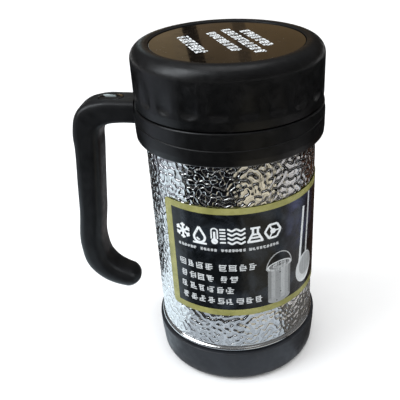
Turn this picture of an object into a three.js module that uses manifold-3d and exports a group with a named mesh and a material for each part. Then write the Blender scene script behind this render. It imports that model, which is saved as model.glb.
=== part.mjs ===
// Small liquid nitrogen dewar: a vacuum-jacketed steel mug with a screw lid, a collar that
// carries a hook handle, a base cup and a wrapped label. Millimetres, +Z up. The origin is the
// centre of the flat foot, and the handle points along -X.
import * as THREE from 'three';
import { mergeVertices } from 'three/addons/utils/BufferGeometryUtils.js';
import Module from 'manifold-3d';

const wasm = await Module();
wasm.setup();

// ---------------------------------------------------------------- driving dimensions
const GAP = 0.3;                 // space left between pieces that touch

const SHELL_R = 42.5;            // outer steel shell
const SHELL_WALL = 0.8;
const SHELL_NECK_R = 40.6;       // the shell narrows to this inside the collar
const SHELL_FOOT_R = 41.2;       // and to this inside the base cup
const SHELL_FOOT = 7.4;
const SHELL_TOP = 145.7;
const BEAD_R = 43.5;             // rolled bead just above the base cup
const VESSEL_R = 38.4;           // inner steel vessel
const VESSEL_WALL = 0.7;
const VESSEL_FLOOR = 12;
const LIP_TOP = 146.7;

const BASE_TOP = 20.5;           // upper edge of the base cup
const BASE_R = 44.9;
const BASE_FOOT_R = 43.8;
const BASE_FOOT = 0.7;           // the foot pad stands this much proud of the cup
const PAD_R = 36;
const PAD_THICK = 1.6;

const COLLAR_R = 46.8;
const COLLAR_FOOT_R = 46.6;
const COLLAR_FOOT = 131.3;
const COLLAR_TOP = 147.2;
const STEP_DEPTH = 0.4;          // the collar is slimmer above its slanted step
const STEP_HEIGHT = 143;         // height of the step at the collar's axis
const STEP_DROP = 4;             // the step is this much lower where it is lowest
const STEP_ANGLE = -90;          // direction in which the step is lowest, degrees from +X

const LID_R = 46;
const LID_FOOT_R = 45.7;
const LID_FOOT = 147.5;
const LID_TOP = 175.5;
const LID_ROOF = 171;            // underside of the lid's roof
const RIM_ROUND = 6.5;           // rounding of the lid's rim
const DISC_R = 36.8;             // glossy disc set into the lid
const DISC_FLOOR = 173;
const FLUTES = 22;               // scooped grip flutes round the lid
const FLUTE_DEPTH = 0.8;
const FLUTE_HALF_WIDTH = 4.5;
const FLUTE_FOOT = 152.5;

const THREAD_PITCH = 5;
const THREAD_DEPTH = 1.1;
const NECK_BORE = 36.1;          // neck insert, between its thread ridges
const NECK_WALL = 1.2;
const NECK_FOOT = 128;
const PLUG_R = 33.4;             // lid plug, between its thread ridges
const PLUG_WALL = 1.5;
const PLUG_FOOT = 126;
const FLANGE_FOOT = 151.9;       // flange that joins the plug to the lid
const FLANGE_TOP = 153.6;
const VENT_BOSS_R = 7;           // bore that guides the relief valve

const LABEL_FOOT = 45.6;
const LABEL_TOP = 108.8;
const LABEL_THICK = 0.3;
const LABEL_START = -134;        // left edge of the label, degrees from +X
const LABEL_SPAN = 140;          // degrees of the shell that the label covers

const HANDLE_WIDTH = 19;
const HANDLE_ROUND = 6.5;        // rounding of the handle's edges, across its width
const HANDLE_SOFT = 4.2;         // and in its own plane
const TONGUE_END = 60;           // the collar's tongue reaches this far into the handle
const TONGUE_Z = [139, 142.6];
const SCREW_X = 57;
const INLAY_X = 59;              // centre of the glossy inlay on the handle's arm
const INLAY_LONG = 12.6;
const INLAY_WIDE = 8.4;
const INLAY_FOOT = 145.9;

const ROUND = 48;                // sides of a round piece that is seen
const LID_ROUND = 66;            // three sides to a flute
const HIDDEN_ROUND = 36;         // sides of a round piece inside

// ---------------------------------------------------------------- making solids
function signedVolume(corners, index) {
  const [a, b, c] = [new THREE.Vector3(), new THREE.Vector3(), new THREE.Vector3()];
  let volume = 0;
  for (let i = 0; i < index.length; i += 3) {
    a.fromArray(corners, 3 * index[i]);
    b.fromArray(corners, 3 * index[i + 1]);
    c.fromArray(corners, 3 * index[i + 2]);
    volume += a.dot(b.cross(c)) / 6;
  }
  return volume;
}

// A closed three.js geometry as a manifold-3d solid with its faces pointing out.
function toSolid(geometry) {
  const plain = geometry.index ? geometry.toNonIndexed() : geometry.clone();
  plain.deleteAttribute('normal');
  plain.deleteAttribute('uv');
  const merged = mergeVertices(plain, 1e-4);
  const corners = merged.getAttribute('position').array;
  const kept = [];
  for (let i = 0; i < merged.index.count; i += 3) {
    const [a, b, c] = [0, 1, 2].map((k) => merged.index.getX(i + k));
    if (a !== b && b !== c && c !== a) kept.push(a, b, c);
  }
  if (signedVolume(corners, kept) < 0) kept.reverse();
  const mesh = new wasm.Mesh({
    numProp: 3,
    vertProperties: new Float32Array(corners),
    triVerts: new Uint32Array(kept),
  });
  return new wasm.Manifold(mesh);
}

function toGeometry(solid) {
  const mesh = solid.getMesh();
  const geometry = new THREE.BufferGeometry();
  geometry.setAttribute('position', new THREE.BufferAttribute(new Float32Array(mesh.vertProperties), 3));
  geometry.setIndex(new THREE.BufferAttribute(new Uint32Array(mesh.triVerts), 1));
  geometry.computeVertexNormals();
  return geometry;
}

// A solid of revolution about Z. The profile is a list of [radius, height] that starts and
// ends on the axis, or a loop whose last side is added here.
function revolve(profile, sides = ROUND) {
  const points = profile.map(([r, z]) => new THREE.Vector2(r, z));
  const solidCore = profile[0][0] === 0 && profile[profile.length - 1][0] === 0;
  if (!solidCore) points.push(points[0].clone());
  return toSolid(new THREE.LatheGeometry(points, sides).rotateX(Math.PI / 2));
}

function disc(radius, low, high, sides = HIDDEN_ROUND) {
  return revolve([[0, low], [radius, low], [radius, high], [0, high]], sides);
}

function ring(inner, outer, low, high, sides = HIDDEN_ROUND) {
  return revolve([[inner, low], [outer, low], [outer, high], [inner, high]], sides);
}

function block(x, y, z) {
  const box = new THREE.BoxGeometry(x[1] - x[0], y[1] - y[0], z[1] - z[0]);
  box.translate((x[0] + x[1]) / 2, (y[0] + y[1]) / 2, (z[0] + z[1]) / 2);
  return toSolid(box);
}

// Points of an arc in a profile. Angles are in degrees from the outward direction.
function arc([r, z], radius, from, to, steps) {
  return Array.from({ length: steps + 1 }, (_, i) => {
    const angle = THREE.MathUtils.degToRad(from + ((to - from) * i) / steps);
    return [r + radius * Math.cos(angle), z + radius * Math.sin(angle)];
  });
}

// A thread ridge: a straight bar bent round Z as a helix. Its root is sunk into the wall that
// carries it, and it fades in and out at its ends.
function threadRidge(root, crest, turns, foot) {
  const section = [[0, -1.5], [1, -0.6], [1, 0.6], [0, 1.5]].map(([r, z]) => new THREE.Vector2(r, z));
  const steps = Math.round(turns * 24);
  const bar = new THREE.ExtrudeGeometry(new THREE.Shape(section), { depth: 1, steps, bevelEnabled: false });
  const points = bar.getAttribute('position');
  const sunk = Math.sign(crest - root) * GAP;
  for (let i = 0; i < points.count; i += 1) {
    const along = points.getZ(i);
    const angle = 2 * Math.PI * turns * along;
    const fade = Math.min(1, 12 * Math.min(along, 1 - along));
    const height = points.getX(i) * (sunk + (crest - root) * fade);
    const radius = root - sunk + height;
    const z = foot + THREAD_PITCH * turns * along + points.getY(i);
    points.setXYZ(i, radius * Math.cos(angle), radius * Math.sin(angle), z);
  }
  return toSolid(bar);
}

// ---------------------------------------------------------------- steel vessel
function outerShell() {
  const bead = BASE_TOP + 1.8;
  const inner = SHELL_R - SHELL_WALL;
  return revolve([
    [SHELL_FOOT_R - SHELL_WALL, SHELL_FOOT],
    [SHELL_FOOT_R, SHELL_FOOT],
    [SHELL_FOOT_R, BASE_TOP - 0.2],
    [SHELL_FOOT_R + 1.3, BASE_TOP + 0.7],
    ...arc([BEAD_R - 1, bead], 1, -50, 80, 3),
    [SHELL_R, bead + 1.3],
    [SHELL_R, 133],
    [SHELL_R - 0.3, 134.4],
    [SHELL_NECK_R, 137.4],
    [SHELL_NECK_R, SHELL_TOP],
    [SHELL_NECK_R - SHELL_WALL, SHELL_TOP],
    [SHELL_NECK_R - SHELL_WALL, 137.2],
    [inner, 133.6],
    [inner, bead - 0.6],
    [SHELL_FOOT_R - SHELL_WALL, BASE_TOP - 0.4],
  ]);
}

function innerVessel() {
  const corner = 8;
  const inner = VESSEL_R - VESSEL_WALL;
  const centre = [VESSEL_R - corner, VESSEL_FLOOR + corner];
  return revolve([
    [0, VESSEL_FLOOR],
    ...arc(centre, corner, -90, 0, 5),
    [VESSEL_R, SHELL_TOP + GAP],
    [SHELL_NECK_R, SHELL_TOP + GAP],
    [SHELL_NECK_R, LIP_TOP],
    [inner, LIP_TOP],
    ...arc(centre, corner - VESSEL_WALL, 0, -90, 5),
    [0, VESSEL_FLOOR + VESSEL_WALL],
  ], HIDDEN_ROUND);
}

// The plate that closes the vacuum jacket, with a raised dimple for the seal-off plug.
function outerBottomPlate() {
  const radius = SHELL_FOOT_R - SHELL_WALL - GAP;
  return revolve([
    [0, 9.2],
    [5, 9.2],
    [7, 7.6],
    [radius, 7.6],
    [radius, 8.4],
    [7.6, 8.4],
    [5.4, 10],
    [0, 10],
  ], HIDDEN_ROUND);
}

function sealOffPlug() {
  return revolve([[0, 7.7], [1.8, 7.8], [2.7, 8.2], [3, 8.9], [0, 8.9]], 24);
}

function getter() {
  return disc(5, 9.9, VESSEL_FLOOR - GAP, 24).translate([20, 0, 0]);
}

// ---------------------------------------------------------------- base
function baseCup() {
  const inner = SHELL_FOOT_R + GAP;
  const corner = 3;
  return revolve([
    [0, PAD_THICK + GAP],
    [PAD_R + GAP, PAD_THICK + GAP],
    [PAD_R + GAP, BASE_FOOT],
    ...arc([BASE_FOOT_R - corner, BASE_FOOT + corner], corner, -90, 0, 4),
    [BASE_R, BASE_TOP - 0.6],
    [BASE_R - 0.5, BASE_TOP],
    [inner + 0.6, BASE_TOP],
    [inner, BASE_TOP - 0.6],
    [inner, SHELL_FOOT - GAP],
    [inner - 4, 3.6],
    [0, 3.6],
  ]);
}

function footPad() {
  return revolve([[0, 0], [PAD_R - 0.5, 0], [PAD_R, 0.5], [PAD_R, PAD_THICK], [0, PAD_THICK]]);
}

// ---------------------------------------------------------------- collar and neck
function collarRing() {
  const bore = SHELL_NECK_R + 0.4;
  const skirt = SHELL_R + 0.5;
  const body = revolve([
    [skirt, COLLAR_FOOT + 0.5],
    [skirt + 0.5, COLLAR_FOOT],
    [COLLAR_FOOT_R - 0.8, COLLAR_FOOT],
    [COLLAR_FOOT_R, COLLAR_FOOT + 0.9],
    [COLLAR_R, COLLAR_FOOT + 3.4],
    [COLLAR_R, COLLAR_TOP - 0.5],
    [COLLAR_R - 0.9, COLLAR_TOP],
    [bore, COLLAR_TOP],
    [bore, 138],
    [skirt, 134.4],
  ]);
  const tongue = block([-TONGUE_END, -bore - 1], [-6, 6], TONGUE_Z);

  const tilt = Math.atan(STEP_DROP / COLLAR_R);
  const above = new THREE.BoxGeometry(120, 120, 30).translate(0, 0, 15);
  above.rotateY(-tilt).rotateZ(THREE.MathUtils.degToRad(STEP_ANGLE + 180));
  above.translate(0, 0, STEP_HEIGHT);
  const skin = ring(COLLAR_R - STEP_DEPTH, COLLAR_R + 4, 130, 160, ROUND);
  const slimmed = body.add(tongue).subtract(skin.intersect(toSolid(above)));
  return slimmed.subtract(disc(1.8, 130, 146, 16).translate([-SCREW_X, 0, 0]));
}

// Threaded ring in the vessel's mouth, with a flange that rests on the neck seal.
function neckInsert() {
  const outer = NECK_BORE + NECK_WALL;
  const body = revolve([
    [NECK_BORE + 0.6, NECK_FOOT],
    [outer, NECK_FOOT],
    [outer, LIP_TOP + 1.6],
    [SHELL_NECK_R, LIP_TOP + 1.6],
    [SHELL_NECK_R, 149.4],
    [SHELL_NECK_R - 0.4, 149.8],
    [NECK_BORE + 0.5, 149.8],
    [NECK_BORE, 149.3],
    [NECK_BORE, NECK_FOOT + 0.6],
  ], HIDDEN_ROUND);
  return body.add(threadRidge(NECK_BORE, NECK_BORE - THREAD_DEPTH, 1.25, 133));
}

function neckSeal() {
  return ring(VESSEL_R - 0.4, SHELL_NECK_R - 0.2, LIP_TOP + GAP, LIP_TOP + 1.3);
}

// ---------------------------------------------------------------- lid
function flute() {
  const sagitta = FLUTE_HALF_WIDTH ** 2;
  const radius = 1 / ((2 * FLUTE_DEPTH) / sagitta - 1 / LID_R);
  const foot = FLUTE_FOOT + FLUTE_HALF_WIDTH;
  const profile = [...arc([0, foot], radius, -90, 0, 7), [radius, LID_TOP + 4], [0, LID_TOP + 4]];
  return revolve([[0, foot - radius], ...profile.slice(1)], HIDDEN_ROUND)
    .translate([LID_R - FLUTE_DEPTH + radius, 0, 0]);
}

function lidCap() {
  const skirt = LID_R - 2.7;
  const inner = skirt - 1.3;
  const ledge = FLANGE_TOP + GAP;
  let cap = revolve([
    [0, DISC_FLOOR],
    [DISC_R + 0.4, DISC_FLOOR],
    [DISC_R + 0.4, LID_TOP - 0.4],
    [DISC_R + 0.8, LID_TOP],
    ...arc([LID_R - RIM_ROUND, LID_TOP - RIM_ROUND], RIM_ROUND, 90, 0, 5),
    [LID_FOOT_R, LID_FOOT + 0.5],
    [LID_FOOT_R - 0.5, LID_FOOT],
    [skirt, LID_FOOT],
    [skirt, ledge],
    [inner, ledge],
    [inner, LID_ROOF - 3],
    [inner - 3, LID_ROOF],
    [0, LID_ROOF],
  ], LID_ROUND);
  const cutter = flute();
  for (let i = 0; i < FLUTES; i += 1) {
    cap = cap.subtract(cutter.rotate([0, 0, (360 * (i + 0.5)) / FLUTES]));
  }
  return cap;
}

function lidTopDisc() {
  const top = LID_TOP - 0.8;
  return revolve([
    [0, DISC_FLOOR + GAP],
    [DISC_R, DISC_FLOOR + GAP],
    [DISC_R, top - 0.3],
    [DISC_R - 0.3, top],
    [0, top],
  ]);
}

// The plug hangs from the lid into the neck. Its floor has the vent hole, and the notch in its
// flange lets vented gas out under the lid's skirt.
function lidPlug() {
  const inner = PLUG_R - PLUG_WALL;
  const flange = LID_R - 3;
  const floor = PLUG_FOOT + 2;
  const cup = revolve([
    [3.2, PLUG_FOOT],
    [PLUG_R - 1, PLUG_FOOT],
    [PLUG_R, PLUG_FOOT + 1],
    [PLUG_R, FLANGE_FOOT],
    [flange, FLANGE_FOOT],
    [flange, FLANGE_TOP],
    [inner, FLANGE_TOP],
    [inner, floor],
    [VENT_BOSS_R + 1.8, floor],
    [VENT_BOSS_R + 1.8, 149.5],
    [VENT_BOSS_R, 149.5],
    [VENT_BOSS_R, floor],
    [3.2, floor],
  ], HIDDEN_ROUND);
  const ridge = threadRidge(PLUG_R, PLUG_R + THREAD_DEPTH, 1.25, 134);
  const notch = block([41.5, 46], [-2, 2], [FLANGE_FOOT - 1, FLANGE_TOP + 1]);
  return cup.add(ridge).subtract(notch);
}

function lidFoam() {
  const core = VENT_BOSS_R + 2.1;
  const inPlug = PLUG_R - PLUG_WALL - GAP;
  const inLid = LID_R - 4.3;
  const body = revolve([
    [core, PLUG_FOOT + 2.3],
    [inPlug, PLUG_FOOT + 2.3],
    [inPlug, FLANGE_TOP + GAP],
    [inLid, FLANGE_TOP + GAP],
    [inLid, LID_ROOF - 3.5],
    [inLid - 3, LID_ROOF - GAP],
    [core, LID_ROOF - GAP],
  ], HIDDEN_ROUND);
  const channel = block([0, 46], [-2, 2], [FLANGE_TOP - 1, FLANGE_TOP + 2]);
  return body.subtract(channel);
}

function lidSealRing() {
  return ring(NECK_BORE + 0.5, SHELL_NECK_R - 0.4, 150.1, FLANGE_FOOT - GAP);
}

// ---------------------------------------------------------------- relief valve in the plug
function ventPoppet() {
  return revolve([
    [0, 128.3],
    [5.2, 128.3],
    [5.5, 128.6],
    [5.5, 129.8],
    [1.5, 130.2],
    [1.5, 150.5],
    [1.2, 151],
    [0, 151],
  ], 24);
}

function ventGuide() {
  let guide = ring(1.85, VENT_BOSS_R - GAP, 146.5, 149, 32);
  for (let i = 0; i < 4; i += 1) {
    const hole = disc(0.9, 140, 160, 12).translate([4.3, 0, 0]);
    guide = guide.subtract(hole.rotate([0, 0, 90 * i + 45]));
  }
  return guide;
}

class Helix extends THREE.Curve {
  constructor(radius, foot, top, turns) {
    super();
    Object.assign(this, { radius, foot, top, turns });
  }

  getPoint(t, target = new THREE.Vector3()) {
    const angle = 2 * Math.PI * this.turns * t;
    const z = THREE.MathUtils.lerp(this.foot, this.top, t);
    return target.set(this.radius * Math.cos(angle), this.radius * Math.sin(angle), z);
  }
}

function ventSpring() {
  const wire = 0.35;
  const turns = 5;
  const section = Array.from({ length: 5 }, (_, i) => {
    const angle = (2 * Math.PI * i) / 5;
    return new THREE.Vector2(wire * Math.cos(angle), wire * Math.sin(angle));
  });
  const path = new Helix(4.2, 130.6, 145.8, turns);
  const options = { steps: turns * 12, extrudePath: path, bevelEnabled: false };
  return toSolid(new THREE.ExtrudeGeometry(new THREE.Shape(section), options));
}

// ---------------------------------------------------------------- label
function label() {
  const inner = SHELL_R + GAP;
  const start = THREE.MathUtils.degToRad(LABEL_START);
  const end = THREE.MathUtils.degToRad(LABEL_START + LABEL_SPAN);
  const shape = new THREE.Shape();
  shape.absarc(0, 0, inner + LABEL_THICK, start, end, false);
  shape.absarc(0, 0, inner, end, start, true);
  const options = { depth: LABEL_TOP - LABEL_FOOT, bevelEnabled: false, curveSegments: 24 };
  return toSolid(new THREE.ExtrudeGeometry(shape, options).translate(0, 0, LABEL_FOOT));
}

// ---------------------------------------------------------------- handle
// The handle's edge in its own plane, from the top of its root round the tip and back to the
// underside of its root: distance from the dewar's axis, height.
const HANDLE_ROOT = 44;
const HANDLE_EDGE = [
  [HANDLE_ROOT, 147.2],
  [56, 147.4],
  [66.4, 147.5],
  [74.6, 143.2],
  [78.8, 135],
  [80.1, 122],
  [84.2, 84],
  [86.5, 60],
  [83.8, 49],
  [76.5, 40.9],
  [68.7, 36.4],
  [61.2, 34.1],
  [56.6, 36.6],
  [55.9, 41.1],
  [60.4, 45],
  [70, 51.2],
  [73.4, 62.6],
  [70.7, 86],
  [67.4, 115.3],
  [65.8, 126.5],
  [62.1, 133.5],
  [54.2, 136.3],
  [HANDLE_ROOT, 136],
];

function handleOutline() {
  const edge = new THREE.SplineCurve(HANDLE_EDGE.map(([r, z]) => new THREE.Vector2(-r, z)));
  const points = edge.getSpacedPoints(64);
  const last = points.length - 1;
  return points.filter((p, i) => i === 0 || i === last || p.x < -HANDLE_ROOT - HANDLE_SOFT - 1);
}

function handleGrip() {
  const bar = new THREE.ExtrudeGeometry(new THREE.Shape(handleOutline()), {
    depth: HANDLE_WIDTH - 2 * HANDLE_ROUND,
    bevelThickness: HANDLE_ROUND,
    bevelSize: HANDLE_SOFT,
    bevelOffset: -HANDLE_SOFT,
    bevelSegments: 4,
  });
  bar.rotateX(Math.PI / 2).translate(0, HANDLE_WIDTH / 2 - HANDLE_ROUND, 0);
  const pocket = block(
    [-TONGUE_END - GAP, -40],
    [-6 - GAP, 6 + GAP],
    [TONGUE_Z[0] - GAP, TONGUE_Z[1] + GAP],
  );
  const screwHole = disc(1.8, 137.6, 144.5, 16).add(disc(2.9, 143.9, 150, 24));
  return toSolid(bar)
    .subtract(disc(COLLAR_R + GAP, 120, 160, ROUND))
    .subtract(pocket)
    .subtract(screwHole.translate([-SCREW_X, 0, 0]))
    .subtract(oblong(INLAY_LONG + 2 * GAP, INLAY_WIDE + 2 * GAP, INLAY_FOOT - GAP, 150, 0));
}

// A flat oblong with round ends, centred on the inlay's place on the arm.
function oblong(long, wide, foot, top, soft) {
  const straight = (long - wide) / 2;
  const shape = new THREE.Shape();
  shape.absarc(straight, 0, wide / 2, -Math.PI / 2, Math.PI / 2, false);
  shape.absarc(-straight, 0, wide / 2, Math.PI / 2, (3 * Math.PI) / 2, false);
  const plate = new THREE.ExtrudeGeometry(shape, {
    depth: top - foot - 2 * soft,
    bevelEnabled: soft > 0,
    bevelThickness: soft,
    bevelSize: soft,
    bevelOffset: -soft,
    bevelSegments: 2,
    curveSegments: 7,
  });
  return toSolid(plate.translate(-INLAY_X, 0, foot + soft));
}

function handleInlay() {
  return oblong(INLAY_LONG, INLAY_WIDE, INLAY_FOOT, 147.9, 0.5);
}

function handleScrew() {
  const body = revolve([
    [0, 138],
    [0.8, 138],
    [1.5, 139],
    [1.5, 144.2],
    [2.6, 144.2],
    [2.6, 145],
    [2.1, 145.6],
    [0, 145.6],
  ], 24);
  const slot = new THREE.BoxGeometry(3.4, 0.7, 1.6).translate(0, 0, 145.6);
  const cross = toSolid(slot).add(toSolid(slot.clone().rotateZ(Math.PI / 2)));
  return body.subtract(cross).translate([-SCREW_X, 0, 0]);
}

// ---------------------------------------------------------------- the dewar
const BLACK_PLASTIC = { color: 0x1d1e20, roughness: 0.5, metalness: 0 };
const GLOSSY_BLACK = { color: 0x14100e, roughness: 0.08, metalness: 0 };
const EMBOSSED_STEEL = { color: 0xc9c6c1, roughness: 0.22, metalness: 1 };
const PLAIN_STEEL = { color: 0xb9bbbd, roughness: 0.32, metalness: 1 };
const SILICONE = { color: 0xd9d8d2, roughness: 0.6, metalness: 0 };
const RUBBER = { color: 0x2a2a2b, roughness: 0.85, metalness: 0 };
const FOAM = { color: 0xe9e4d2, roughness: 0.95, metalness: 0 };
const NECK_PLASTIC = { color: 0x232426, roughness: 0.45, metalness: 0 };
const LABEL_FILM = { color: 0x20242b, roughness: 0.35, metalness: 0 };
const FOIL = { color: 0xd8d9dc, roughness: 0.18, metalness: 1 };
const GETTER = { color: 0x6f6a63, roughness: 0.8, metalness: 0.4 };

const dewar = new THREE.Group();

function place(name, solid, look) {
  const mesh = new THREE.Mesh(toGeometry(solid), new THREE.MeshStandardMaterial(look));
  mesh.name = name;
  dewar.add(mesh);
}

place('outer_shell', outerShell(), EMBOSSED_STEEL);
place('outer_bottom_plate', outerBottomPlate(), PLAIN_STEEL);
place('seal_off_plug', sealOffPlug(), PLAIN_STEEL);
place('inner_vessel', innerVessel(), PLAIN_STEEL);
place('reflective_foil', ring(VESSEL_R + 0.4, VESSEL_R + 0.7, 21, 133.5), FOIL);
place('getter', getter(), GETTER);
place('base_cup', baseCup(), BLACK_PLASTIC);
place('foot_pad', footPad(), RUBBER);
place('label', label(), LABEL_FILM);
place('collar_ring', collarRing(), BLACK_PLASTIC);
place('neck_insert', neckInsert(), NECK_PLASTIC);
place('neck_seal', neckSeal(), SILICONE);
place('handle_grip', handleGrip(), BLACK_PLASTIC);
place('handle_inlay', handleInlay(), GLOSSY_BLACK);
place('handle_screw', handleScrew(), PLAIN_STEEL);
place('lid_cap', lidCap(), BLACK_PLASTIC);
place('lid_top_disc', lidTopDisc(), GLOSSY_BLACK);
place('lid_plug', lidPlug(), NECK_PLASTIC);
place('lid_foam', lidFoam(), FOAM);
place('lid_seal_ring', lidSealRing(), SILICONE);
place('vent_poppet', ventPoppet(), SILICONE);
place('vent_spring', ventSpring(), PLAIN_STEEL);
place('vent_guide', ventGuide(), NECK_PLASTIC);

export default dewar;
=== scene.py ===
"""The looks of a small liquid nitrogen dewar: a steel vacuum mug with a screw lid, a hook handle
and a wrapped label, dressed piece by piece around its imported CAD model.

Shapes are worked out in millimetres in the CAD frame (+Z up, origin at the middle of the foot,
handle along -X) and become metres when their mesh is made. Angles are in degrees from +X, apart
from those given to polar() and way(), which are in radians."""

import math

import bmesh
import bpy
import numpy as np
from mathutils import Matrix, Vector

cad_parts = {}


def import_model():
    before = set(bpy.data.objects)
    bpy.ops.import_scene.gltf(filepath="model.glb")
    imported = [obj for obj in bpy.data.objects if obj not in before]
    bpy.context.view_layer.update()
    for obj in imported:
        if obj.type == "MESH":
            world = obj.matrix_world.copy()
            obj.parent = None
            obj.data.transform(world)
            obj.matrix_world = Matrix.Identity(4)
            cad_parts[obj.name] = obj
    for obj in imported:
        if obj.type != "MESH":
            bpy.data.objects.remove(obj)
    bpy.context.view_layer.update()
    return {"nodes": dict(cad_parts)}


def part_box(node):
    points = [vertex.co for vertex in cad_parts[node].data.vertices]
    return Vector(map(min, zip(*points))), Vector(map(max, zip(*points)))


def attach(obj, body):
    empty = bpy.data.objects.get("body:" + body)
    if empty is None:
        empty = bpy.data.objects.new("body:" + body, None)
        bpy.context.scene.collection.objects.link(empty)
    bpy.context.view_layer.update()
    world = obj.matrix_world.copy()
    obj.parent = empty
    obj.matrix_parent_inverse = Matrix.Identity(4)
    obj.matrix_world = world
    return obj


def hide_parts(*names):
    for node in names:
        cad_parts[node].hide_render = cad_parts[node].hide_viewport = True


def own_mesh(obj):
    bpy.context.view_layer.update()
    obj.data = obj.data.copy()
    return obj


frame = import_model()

MM = 0.001
COLUMNS = 192  # points round a turned piece
VIEW_ANGLE = -84  # direction from the axis to the camera


def span(node):
    """Lowest and highest corner of a CAD node, in millimetres."""
    low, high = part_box(node)
    return low / MM, high / MM


def foot_top(node):
    """Lowest and highest level of a CAD node, in millimetres."""
    low, high = span(node)
    return low.z, high.z


def radius_of(node):
    return span(node)[1].x


def extent(node):
    """Lowest and highest level and largest radius of a round CAD node, in millimetres."""
    return *foot_top(node), radius_of(node)


# ---- making meshes


def linked(name, data):
    """An object of some data, put in the scene."""
    obj = bpy.data.objects.new(name, data)
    bpy.context.scene.collection.objects.link(obj)
    return obj


def spread_values(obj, name, values):
    """Stores one number for each point of a mesh, for its material to read."""
    obj.data.attributes.new(name, "FLOAT", "POINT").data.foreach_set("value", values)


def polar(radius, angle, height):
    """Points from distances from the axis, directions in radians and heights."""
    return np.stack([radius * np.cos(angle), radius * np.sin(angle), height], axis=-1)


def way(angle):
    """The level direction that an angle in radians points in."""
    return np.array([math.cos(angle), math.sin(angle)])


def skin(name, points, round_again=True, close_rows=False):
    """A smooth-shaded mesh through a grid of points, rows by columns. Its columns join up round
    the piece, its rows may do so too, and points that meet on the axis become one."""
    rows, columns = points.shape[:2]
    index = np.arange(rows * columns).reshape(rows, columns)
    if close_rows:
        index = np.vstack([index, index[:1]])
    if round_again:
        index = np.hstack([index, index[:, :1]])
    corners = [index[:-1, :-1], index[:-1, 1:], index[1:, 1:], index[1:, :-1]]
    faces = np.stack(corners, axis=-1).reshape(-1, 4)
    mesh = bpy.data.meshes.new(name)
    mesh.from_pydata((points.reshape(-1, 3) * MM).tolist(), [], faces.tolist())
    return finished(name, mesh)


def finished(name, mesh, sharp=40):
    """The object of a mesh, with doubled points merged, faces out and smooth shading."""
    work = bmesh.new()
    work.from_mesh(mesh)
    ends = [v for v in work.verts if len(v.link_faces) and v.co.xy.length < 1e-6]
    bmesh.ops.remove_doubles(work, verts=ends, dist=1e-7)
    bmesh.ops.recalc_face_normals(work, faces=work.faces)
    work.to_mesh(mesh)
    work.free()
    mesh.shade_smooth()
    mesh.set_sharp_from_angle(angle=math.radians(sharp))
    return linked(name, mesh)


def even_normals(obj):
    """Keeps large flat faces flat beside small roundings."""
    modifier = obj.modifiers.new("even_normals", "WEIGHTED_NORMAL")
    modifier.keep_sharp = True
    return obj


def rounded(outline, steps=5):
    """Points of an outline of (radius, height) or (radius, height, fillet) corners."""
    points = []
    for i, corner in enumerate(outline):
        here = np.array(corner[:2], float)
        fillet = corner[2] if len(corner) > 2 else 0
        if not fillet:
            points.append(here)
            continue
        back = np.array(outline[i - 1][:2]) - here
        ahead = np.array(outline[(i + 1) % len(outline)][:2]) - here
        back /= np.linalg.norm(back)
        ahead /= np.linalg.norm(ahead)
        half = math.acos(np.clip(back @ ahead, -1, 1)) / 2
        middle = (back + ahead) / np.linalg.norm(back + ahead)
        centre = here + middle * fillet / math.sin(half)
        start, end = (here + leg * fillet / math.tan(half) - centre for leg in (back, ahead))
        first = math.atan2(start[1], start[0])
        sweep = (math.atan2(end[1], end[0]) - first + math.pi) % (2 * math.pi) - math.pi
        for angle in first + sweep * np.linspace(0, 1, steps + 1):
            points.append(centre + fillet * way(angle))
    return points


def ring_points(rings, columns):
    """A grid of points through rings of (radius, height). Either may vary round the ring."""
    radius = np.array([np.broadcast_to(r, columns) for r, _ in rings])
    height = np.array([np.broadcast_to(z, columns) for _, z in rings])
    return polar(radius, np.arange(columns) * 2 * np.pi / columns, height)


def turned(name, rings, columns=COLUMNS):
    """A piece turned about Z. Rings that start and end on the axis make a solid core, and others
    close on themselves."""
    points = ring_points(rings, columns)
    return even_normals(skin(name, points, close_rows=bool(np.any(rings[0][0]))))


def ring_angles(columns=COLUMNS):
    return np.arange(columns) * 360 / columns


def ease(x, low, high):
    """0 at low, 1 at high and smooth in between."""
    t = np.clip((x - low) / (high - low), 0, 1)
    return t * t * (3 - 2 * t)


def placed(obj, body, slot, *nodes):
    """obj rides on a body and stands for CAD nodes. Its slot is not used."""
    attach(obj, body)
    if nodes:
        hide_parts(*nodes)
    return obj


# ---- wiring materials


MIX_FACTOR, MIX_A, MIX_B = 0, 6, 7  # inputs of a Mix node that mixes colours
MIX_COLOUR = 2  # and its output


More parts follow.
